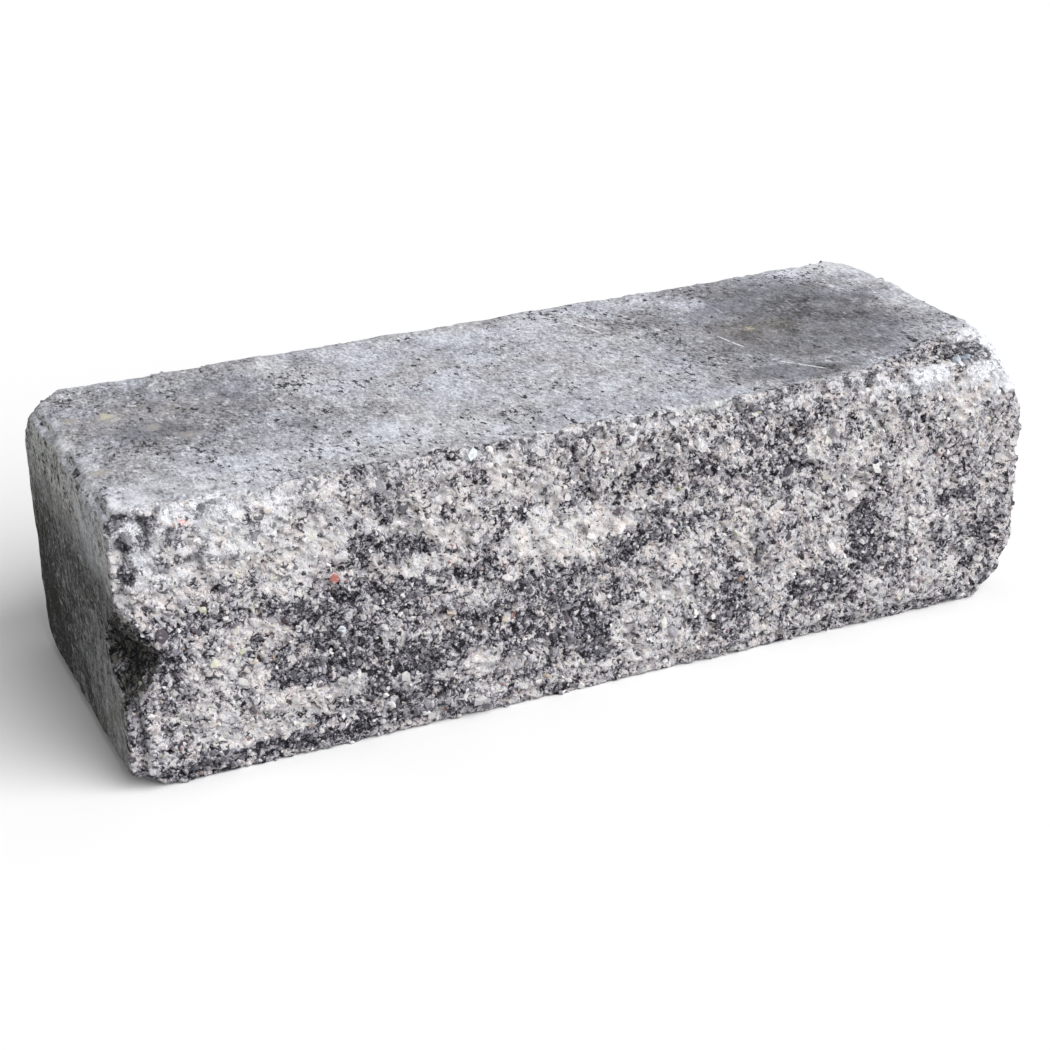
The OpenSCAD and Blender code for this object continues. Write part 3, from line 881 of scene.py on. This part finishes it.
def brokenColour(s, grit, clump, border):
    # a light and a dark mix, parted raggedly, each with its own small grains, and painted shade in its dark
    # specks and where its relief sinks deep
    tone, loose = s.read("tone"), s.stirred("stir", mixing["stirring"])
    # 1 in the lightest areas, which are calmer
    plain = s.span(tone, *mixing["plainCut"])
    cell, cellChance, cellKind, cellOther = s.grains(mixing["cellSize"], loose, "MANHATTAN")
    fine, fineChance, fineKind, fineOther = s.grains(mixing["fineSize"], loose, "CHEBYCHEV")
    blotch = s.noise("blotch")
    parting = s.weighed(mixing["parting"], tone=tone, blotch=blotch, clump=clump, cell=cellChance,
                        fine=fineChance, plain=plain)
    light = s.span(parting, *mixing["lightCut"])
    # how far up its ramp each place lies: painted crevice shade low, painted highlight high
    darkHeight = s.weighed(mixing["darkHeight"], grit=grit, clump=clump, fine=fineOther)
    paleHeight = s.weighed(mixing["paleHeight"], tone=tone, grit=grit, clump=clump, blotch=blotch,
                           plain=plain)
    tints = s.ramp(s.noise("tint"), paste["tints"])
    pale = s.mix(1.0, s.ramp(paleHeight, paste["lightMix"]), tints, "MULTIPLY")
    colour = s.mix(light, s.ramp(darkHeight, paste["darkMix"]), pale)

    # small grains, lighter by chance in the light mix: the finer ones, then the larger ones
    shift = s.total(s.between(light, *mixing["grainShift"]), s.times(plain, mixing["plainShift"]))
    fineShare = s.less(s.ragged(fine, grit, mixing["fineRagged"]), *mixing["fineEdge"])
    fineShare = s.times(fineShare, s.span(fineKind, *mixing["fineOdds"]),
                        s.between(light, *mixing["fineMany"]))
    colour = s.mix(fineShare, colour, s.ramp(s.total(fineOther, shift), paste["grainColours"], "CONSTANT"))
    cellShare = s.less(s.ragged(cell, grit, mixing["cellRagged"]), *mixing["cellEdge"])
    cellShare = s.times(cellShare, s.span(cellOther, *mixing["cellOdds"]),
                        s.between(light, *mixing["cellMany"]), s.between(plain, *mixing["plainMany"]))
    colour = s.mix(cellShare, colour, s.ramp(s.total(cellKind, shift), paste["grainColours"], "CONSTANT"))
    # dark specks: painted shade of small crevices
    specks = s.total(s.ragged(clump, border, mixing["speckRagged"]), s.times(plain, mixing["plainSpecks"]))
    specks = s.less(specks, *mixing["darkSpecks"])
    colour = s.coated(colour, s.times(specks, mixing["darkSpeckShare"]), "pitShadow")
    # painted shade where the broken relief sinks deep
    return s.coated(colour, s.times(s.read("hollowShade"), mixing["hollowShare"]), "pitShadow")


def topMarks(s, colour, top, small, fine, border):
    # pale stones and scratches on the upper bed, at their own places
    flat = s.stretched(mixing["fromAbove"])
    for middle, half, stoneColour in paste["flushStones"]:
        spot = Vector((*middle, 0)) * mm
        away = s.add("ShaderNodeVectorMath", {0: flat, 1: spot}, output=1, operation="DISTANCE")
        for noise in (border, small):
            away = s.ragged(away, noise, mixing["markRagged"] * mm)
        share = s.less(away, mixing["flushCore"] * half * mm, half * mm)
        share = s.times(share, s.times(top, mixing["flushStoneShare"]))
        colour = s.mix(share, colour, shown(*stoneColour))
    for start, end, width in paste["scratches"]:
        worn = s.times(top, s.span(fine, *mixing["scratchCut"]))
        share = s.times(scratchShare(s, flat, start, end, width), worn)
        colour = s.coated(colour, s.times(share, mixing["scratchShare"]), "scratch")
    return colour


def pressedColour(s, top, drawn, specks, crowd, border):
    # clouds of grey, mottled and speckled, with flush stones, rusty smudges, chalk and pores painted dark
    # as shadow
    shade, cloudy = s.read("shade"), s.noise("cloudy")
    mid, small, fine = (s.noise(kind, drawn) for kind in ("mid", "small", "fine"))
    stirred = s.stirred("flushStir", mixing["flushStirring"], drawn)
    flush, flushChance, flushKind, flushOther = s.grains(mixing["flushSize"], stirred)
    mottle = s.weighed(mixing["mottle"], mid=mid, small=small, fine=fine, flush=flushOther)
    # dark areas are smoother
    side = s.between(top, 1.0, 0.0)
    calm = s.math("MAXIMUM", s.span(shade, *mixing["calmCut"]), s.times(side, mixing["sideCalm"]))
    # runs down the sides
    streaks = s.around(s.noise("streak", s.stretched(mixing["runs"])), mixing["streakWeight"])
    lively = s.total(1.0, s.times(side, s.span(shade, *mixing["livelyCut"])))
    mottle = s.times(s.total(mottle, s.times(streaks, side)), lively)
    clouding = s.times(s.around(cloudy, mixing["cloudWeight"]), calm)
    value = s.total(mixing["pressedBase"], clouding, s.times(mottle, calm),
                    s.times(shade, mixing["shadeWeight"]))
    tints = s.ramp(cloudy, paste["pressedTints"])
    colour = s.mix(1.0, s.ramp(value, paste["pressedColours"]), tints, "MULTIPLY")
    colour = s.coated(colour, side, "sideTint", "MULTIPLY")

    flushShare = s.less(s.ragged(flush, small, mixing["flushRagged"]), *mixing["flushEdge"])
    flushShare = s.times(flushShare, s.span(flushChance, *mixing["flushOdds"]), calm, mixing["flushShare"])
    colour = s.mix(flushShare, colour, s.ramp(flushKind, paste["flushColours"], "CONSTANT"))
    brown = s.times(s.read("brown"), s.span(mid, *mixing["brownCut"]))
    colour = s.coated(colour, brown, "brownStain")
    chalk = s.ragged(s.ragged(small, border, mixing["chalkRagged"]), mid, mixing["chalkRagged"])
    chalk = s.span(chalk, *mixing["chalkCut"])
    colour = s.coated(colour, s.times(chalk, calm, mixing["chalkShare"]), "bloom")
    colour = topMarks(s, colour, top, small, fine, border)

    # pores: ragged pits in some of the cells, and finer specks that gather in clusters, their darkness
    # painted shadow
    pitOdds = s.less(s.total(s.ragged(flushChance, mid, mixing["oddsRagged"]), crowd), *mixing["pitOdds"])
    pits = s.times(s.less(s.ragged(flush, small, mixing["pitRagged"]), *mixing["pitEdge"]), pitOdds)
    pores = s.times(s.math("MAXIMUM", pits, specks), s.span(calm, *mixing["poreCut"]))
    return s.coated(colour, pores, "pitShadow")


def concreteFinish():
    # broken and pressed concrete either side of a ragged borderline, under dirt and white crust, with a
    # painted highlight at the top right corner
    s = Finish("tumbledConcrete", bpy.data.materials)
    grit, clump, border = (s.noise(kind) for kind in ("grit", "clump", "border"))
    broken, soil, crustAndHighlight = (s.read(name) for name in ("broken", "soil", "crustAndHighlight"))
    split = brokenColour(s, grit, clump, border)
    # pressing drew the grains out across the block
    drawn = s.stretched(mixing["drawnOut"])
    crowd = s.around(s.noise("crowd"), mixing["crowdWeight"])
    top = onTopOnly(s)
    # pores are a little fewer on the sides
    fewer = s.between(top, mixing["porousSides"], 0.0)
    specks = s.less(s.total(s.noise("speck", drawn), crowd, fewer), *mixing["poreSpecks"])
    pressed = pressedColour(s, top, drawn, specks, crowd, border)
    borderline = s.span(s.ragged(broken, border, mixing["brokenRagged"]), *mixing["brokenCut"])
    colour = s.mix(borderline, pressed, split)
    grime = s.times(soil, s.span(s.ragged(clump, border, mixing["grimeRagged"]), *mixing["grimeCut"]))
    colour = s.coated(colour, grime, "grime", "MULTIPLY")
    wisps = s.span(s.noise("wisp", s.stretched(mixing["wisps"])), *mixing["wispCut"])
    wisps = s.times(s.times(wisps, soil), s.times(broken, mixing["wispShare"]))
    colour = s.coated(colour, wisps, "wisp")
    # white crust, which at the top right corner and below the chip is also a painted highlight
    bloom = s.times(crustAndHighlight, s.span(s.ragged(grit, border, mixing["bloomRagged"]), *mixing["bloomCut"]))
    colour = s.coated(colour, s.math("MINIMUM", bloom, 1.0), "bloom")
    # the finest relief, too small for the mesh
    gritty = s.times(grit, s.span(broken, *mixing["reliefCut"], *mixing["gritBump"]))
    pitted = s.times(specks, s.times(s.less(broken, *mixing["reliefCut"]), mixing["poreBump"]))
    height = s.total(gritty, s.times(clump, mixing["clumpBump"]), pitted)
    return s.finish(colour, s.span(grit, *mixing["rough"]), height, *mixing["relief"])


# crushed stones that the split left flush with the broken faces or standing a little out of them
stones = {
    "count": 8600, "seed": 11, "middleRadius": 1.25, "spread": 0.42, "smallest": 0.7, "largest": 3.8,
    "uneven": 0.2, "stretch": (0.6, 1.1), "sunk": (0.1, 0.55), "flatTop": (0.05, 0.55), "topTilt": 0.35,
    # fewer in soil, in the light mix and away from the split face, where they are small too
    "brokenFade": (0.6, 0.3), "soilLess": 0.7, "lightLess": 0.35, "backLess": 0.96, "backFade": (40, 20),
    "smallFrom": 35.0, "smallSize": 0.5, "shading": (0.8, 1.02),
    # colour, and how often it comes in the dark mix and in the light mix
    "kinds": [
        ((223, 221, 220), 15, 26), ((207, 204, 206), 17, 24), ((166, 164, 170), 22, 16),
        ((127, 125, 132), 20, 9), ((90, 88, 95), 18, 8), ((58, 57, 62), 9, 6), ((104, 92, 102), 3, 2.5),
        ((196, 184, 170), 0.7, 1.4), ((200, 199, 178), 0.6, 1), ((172, 148, 134), 0.25, 0.4),
        ((156, 116, 112), 0.25, 0.4),
    ],
    # larger or coloured ones at their own places: X, Y, Z, radius and colour
    "placed": [
        ((-214, -92, 140), 2.4, (200, 134, 128)), ((-229, -95, 81), 4.2, (96, 86, 96)),
        ((-212, -95, 81), 3.6, (88, 80, 90)), ((-204, -95, 63), 4.0, (204, 205, 182)),
        ((-145, -95, 92), 2.4, (178, 112, 104)), ((-143, -95, 66), 2.8, (214, 222, 228)),
        ((-124, -95, 74), 2.6, (222, 222, 220)), ((-172, -95, 76), 2.8, (84, 66, 72)),
        ((-69, -90, 142), 4.2, (206, 214, 214)), ((41, -95, 101), 3.4, (160, 158, 128)),
        ((34, -95, 29), 3.6, (214, 214, 206)), ((-75, -95, 34), 3.2, (210, 212, 214)),
        ((128, -95, 111), 4.2, (218, 216, 206)), ((211, -84, 139), 5.6, (168, 181, 194)),
        ((181, -72, 143), 2.6, (160, 172, 184)), ((-150, -95, 118), 3.2, (60, 60, 66)),
        ((219, -82, 139), 3.4, (146, 162, 178)), ((204, -79, 141), 3.0, (104, 116, 130)),
    ],
}


def icosahedron():
    # the twelve corners, from three golden rectangles, and the twenty faces of nearest corners
    golden = (1 + math.sqrt(5)) / 2
    sheet = np.array([(0, a, b * golden) for a in (-1, 1) for b in (-1, 1)], float)
    corners = np.concatenate([np.roll(sheet, k, axis=1) for k in range(3)]) / math.hypot(1, golden)
    # corners with an edge between them lie 1.05 apart, and all others at least 1.7
    joined = np.linalg.norm(corners[:, None] - corners[None], axis=2) < 1.1
    i, j, k = np.meshgrid(*[np.arange(len(corners))] * 3, indexing="ij")
    near = (i < j) & (j < k) & joined[i, j] & joined[j, k] & joined[i, k]
    faces = np.column_stack([i[near], j[near], k[near]])
    a, b, c = (corners[faces[:, m]] for m in range(3))
    inward = (np.cross(b - a, c - a) * a).sum(axis=1) < 0
    faces[inward] = faces[inward][:, ::-1]
    return corners, faces


def skinShares(skinMesh, place):
    # the chance that each point of the skin gets a stone: the area round it, so that the mesh's own
    # spacing doesn't show, times what soil, the light mix and the distance from the split face leave
    broken, tone, soil = (getField(skinMesh, name) for name in ("broken", "tone", "soil"))
    corners = np.empty(3 * len(skinMesh.polygons), np.int32)
    skinMesh.polygons.foreach_get("vertices", corners)
    area = np.empty(len(skinMesh.polygons), np.float32)
    skinMesh.polygons.foreach_get("area", area)
    share = np.bincount(corners, np.repeat(area, 3), len(place)) * rising(broken, *stones["brokenFade"])
    share = share * (1 - stones["soilLess"] * soil) * (1 - stones["lightLess"] * ease(tone))
    share = share * (1 - stones["backLess"] * rising(place[:, 1] - frontY, *stones["backFade"]))
    return share / share.sum()


def brokenStones(rng, size, outward):
    # each stone is an icosahedron with its corners pulled about, stretched, turned, sunk in the face
    # along its normal, and cut off by a tilted plane just above it
    count = len(size)
    ball, faces = icosahedron()
    shape = ball * (1 + stones["uneven"] * rng.standard_normal((count, len(ball), 1)))
    shape = shape * rng.uniform(*stones["stretch"], (count, 1, 3))
    turn = np.linalg.qr(rng.standard_normal((count, 3, 3)))[0]
    turn[:, :, 0] *= np.sign(np.linalg.det(turn))[:, None]
    shape = np.einsum("nij,nkj->nki", turn, shape) * size[:, None, None]
    sunk = size * rng.uniform(*stones["sunk"], count)
    shape = shape - (outward * sunk[:, None])[:, None]
    # the cut: what stands above it comes down on to it
    tilt = outward + stones["topTilt"] * rng.standard_normal((count, 3))
    tilt = tilt / np.linalg.norm(tilt, axis=1)[:, None]
    above = np.einsum("nki,ni->nk", shape, tilt) - rng.uniform(*stones["flatTop"], count)[:, None]
    return shape - np.maximum(above, 0)[:, :, None] * tilt[:, None], faces


def stoneColours(rng, tone):
    # colour by chance, with the odds of the mix that the stone lies in, and the placed ones' own
    odds = np.array([kind[1:] for kind in stones["kinds"]], float)
    odds = (odds / odds.sum(axis=0)).cumsum(axis=0)
    light = ease(tone + 0.5)
    limits = odds[:, :1] * (1 - light) + odds[:, 1:] * light
    kind = (rng.random(len(tone)) > limits).sum(axis=0).clip(0, len(stones["kinds"]) - 1)
    palette = np.array([shown(*kind[0]) for kind in stones["kinds"]])
    colour = palette[kind] * rng.uniform(*stones["shading"], (len(tone), 1))
    colour[-len(stones["placed"]):] = [shown(*own) for spot, radius, own in stones["placed"]]
    colour[:, 3] = 1
    return colour


def makeStones(skinMesh):
    # random stones on points picked by chance, then the placed ones on the points nearest to them,
    # all joined to one piece and held inside the planes that the block may reach
    rng = np.random.default_rng(stones["seed"])
    place, normal = pointsOf(skinMesh)
    shares = skinShares(skinMesh, place)
    choice = rng.choice(len(place), size=stones["count"], replace=False, p=shares)
    size = rng.lognormal(math.log(stones["middleRadius"]), stones["spread"], len(choice))
    size = size * np.where(place[choice, 1] > frontY + stones["smallFrom"], stones["smallSize"], 1.0)
    size = np.clip(size, stones["smallest"], stones["largest"])
    middles = np.array([spot for spot, radius, own in stones["placed"]], float)
    nearest = np.linalg.norm(place[None] - middles[:, None], axis=2).argmin(axis=1)
    choice = np.concatenate([choice, nearest])
    size = np.concatenate([size, [radius for spot, radius, own in stones["placed"]]])

    shape, faces = brokenStones(rng, size, normal[choice])
    count, corners = shape.shape[:2]
    points = (shape + place[choice][:, None]).reshape(-1, 3)
    reach = halfSize + np.array([0, block["splitProud"], 0])
    points = np.clip(points - centre, -reach, reach) + centre
    triangles = (faces[None] + corners * np.arange(count)[:, None, None]).reshape(-1, 3)
    piece = meshFrom("crushedStones", points, triangles)
    piece.data.polygons.foreach_set("use_smooth", np.zeros(len(triangles), bool))
    colour = np.repeat(stoneColours(rng, getField(skinMesh, "tone")[choice]), corners, axis=0)
    layer = piece.data.attributes.new("stoneColour", "FLOAT_COLOR", "POINT")
    layer.data.foreach_set("color", colour.astype(np.float32).ravel())
    for name in ("crustAndHighlight", "tone", "soil"):
        setField(piece.data, name, np.repeat(getField(skinMesh, name)[choice], corners))
    print("stones", count, "with", len(triangles), "triangles")
    return piece


def stoneFinish():
    # the stone's own colour, partly covered by paste of the mix that it lies in
    s = Finish("crushedStone", bpy.data.materials)
    mottle, smear = s.noise("stoneMottle"), s.noise("stoneSmear")
    dark, light = s.ramp(mottle, paste["darkMix"]), s.ramp(mottle, paste["lightMix"])
    coat = s.mix(s.span(s.read("tone"), *mixing["coatTone"]), dark, light)
    coatShare = s.times(s.span(smear, *mixing["coatCut"]), mixing["coatShare"])
    colour = s.mix(coatShare, s.read("stoneColour", output=0), coat)
    colour = s.coated(colour, s.read("soil"), "grime", "MULTIPLY")
    # white crust, at the top right corner also a painted highlight
    bloom = s.times(s.read("crustAndHighlight"), mixing["stoneBloom"])
    colour = s.coated(colour, s.math("MINIMUM", bloom, mixing["mostBloom"]), "bloom")
    return s.finish(colour, s.span(mottle, *mixing["stoneRough"]), mottle, *mixing["stoneRelief"])


wallBlock = makeBlock()
wallBlock.data.materials.append(concreteFinish())
stonePiece = makeStones(wallBlock.data)
stonePiece.data.materials.append(stoneFinish())
for piece in (wallBlock, stonePiece):
    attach(piece, "root")
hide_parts("wall_block")


# floor and light: floor's size in metres, colours in linear values, and angles in degrees
studio = {
    "floorSize": 12.0, "floorShown": (0.93, 0.93, 0.935, 1.0), "floorBounce": (0.45, 0.45, 0.46, 1.0),
    "sunTurn": 32.0, "sunHeight": 39.0, "sunStrength": 3.75, "sunSoftness": 60.0, "skyStrength": 0.34,
}


def seenShare(s):
    # 1 where the camera sees it, also in gloss or through glass, and 0 where it only throws light
    path = s.add("ShaderNodeLightPath").node
    share = path.outputs["Is Camera Ray"]
    for kind in ("Glossy", "Transmission"):
        share = s.math("MAXIMUM", share, path.outputs[f"Is {kind} Ray"])
    return share


def makeFloor():
    # one square under the block, nearly white where it's seen and darker where it throws light back
    half = studio["floorSize"] / 2 / mm
    corners = np.array([[-half, -half, 0], [half, -half, 0], [half, half, 0], [-half, half, 0]])
    floor = meshFrom("studioFloor", corners, np.array([[0, 1, 2], [0, 2, 3]]))
    s = Finish("paleFloor", bpy.data.materials)
    colour = s.mix(seenShare(s), studio["floorBounce"], studio["floorShown"])
    floor.data.materials.append(s.close(s.add("ShaderNodeBsdfDiffuse", {0: colour})))


def makeSky():
    # plain white where it's seen, and dimmer where it only gives light
    s = Finish("studioSky", bpy.data.worlds)
    dim = s.add("ShaderNodeBackground", {0: (1, 1, 1, 1), 1: studio["skyStrength"]})
    full = s.add("ShaderNodeBackground", {0: (1, 1, 1, 1), 1: 1.0})
    sky = s.add("ShaderNodeMixShader", {0: seenShare(s), 1: dim, 2: full})
    bpy.context.scene.world = s.close(sky, "ShaderNodeOutputWorld")


def directionAt(turn, height):
    # unit vector from the block: a turn from its front round towards its right end, and a height
    flat = math.cos(height)
    return Vector((math.sin(turn) * flat, -math.cos(turn) * flat, math.sin(height)))


def makeLight():
    # one wide, soft lamp that shines from its turn and height towards the block
    lamp = bpy.data.lights.new("keyLight", "SUN")
    lamp.energy = studio["sunStrength"]
    lamp.angle = math.radians(studio["sunSoftness"])
    towards = directionAt(math.radians(studio["sunTurn"]), math.radians(studio["sunHeight"]))
    inScene("keyLight", lamp).rotation_euler = towards.to_track_quat("Z", "Y").to_euler()


# camera: angles in degrees, lens and sensor in millimetres, and distance and slides in metres
viewing = {"azimuth": -23.31, "elevation": 23.71, "roll": -1.76, "distance": 1.1923, "lens": 76.0,
           "sensor": 36.0, "across": -0.0039, "upward": -0.0158}


def makeCamera():
    # looks at the block's middle from an azimuth and elevation, rolled a little, then slid sideways
    azimuth = math.radians(viewing["azimuth"])
    back = directionAt(azimuth, math.radians(viewing["elevation"]))
    level = Vector((math.cos(azimuth), math.sin(azimuth), 0))
    right = Matrix.Rotation(math.radians(viewing["roll"]), 3, back) @ level
    up = back.cross(right)
    camera = inScene("camera", bpy.data.cameras.new("camera"))
    camera.data.lens = viewing["lens"]
    camera.data.sensor_width = viewing["sensor"]
    camera.matrix_world = Matrix((right, up, back)).transposed().to_4x4()
    place = (cadLow + cadHigh) / 2 + back * viewing["distance"]
    camera.location = place + right * viewing["across"] + up * viewing["upward"]
    bpy.context.scene.camera = camera


makeFloor()
makeLight()
makeSky()
makeCamera()
bpy.context.scene.view_settings.view_transform = "Standard"
print("studio ready")
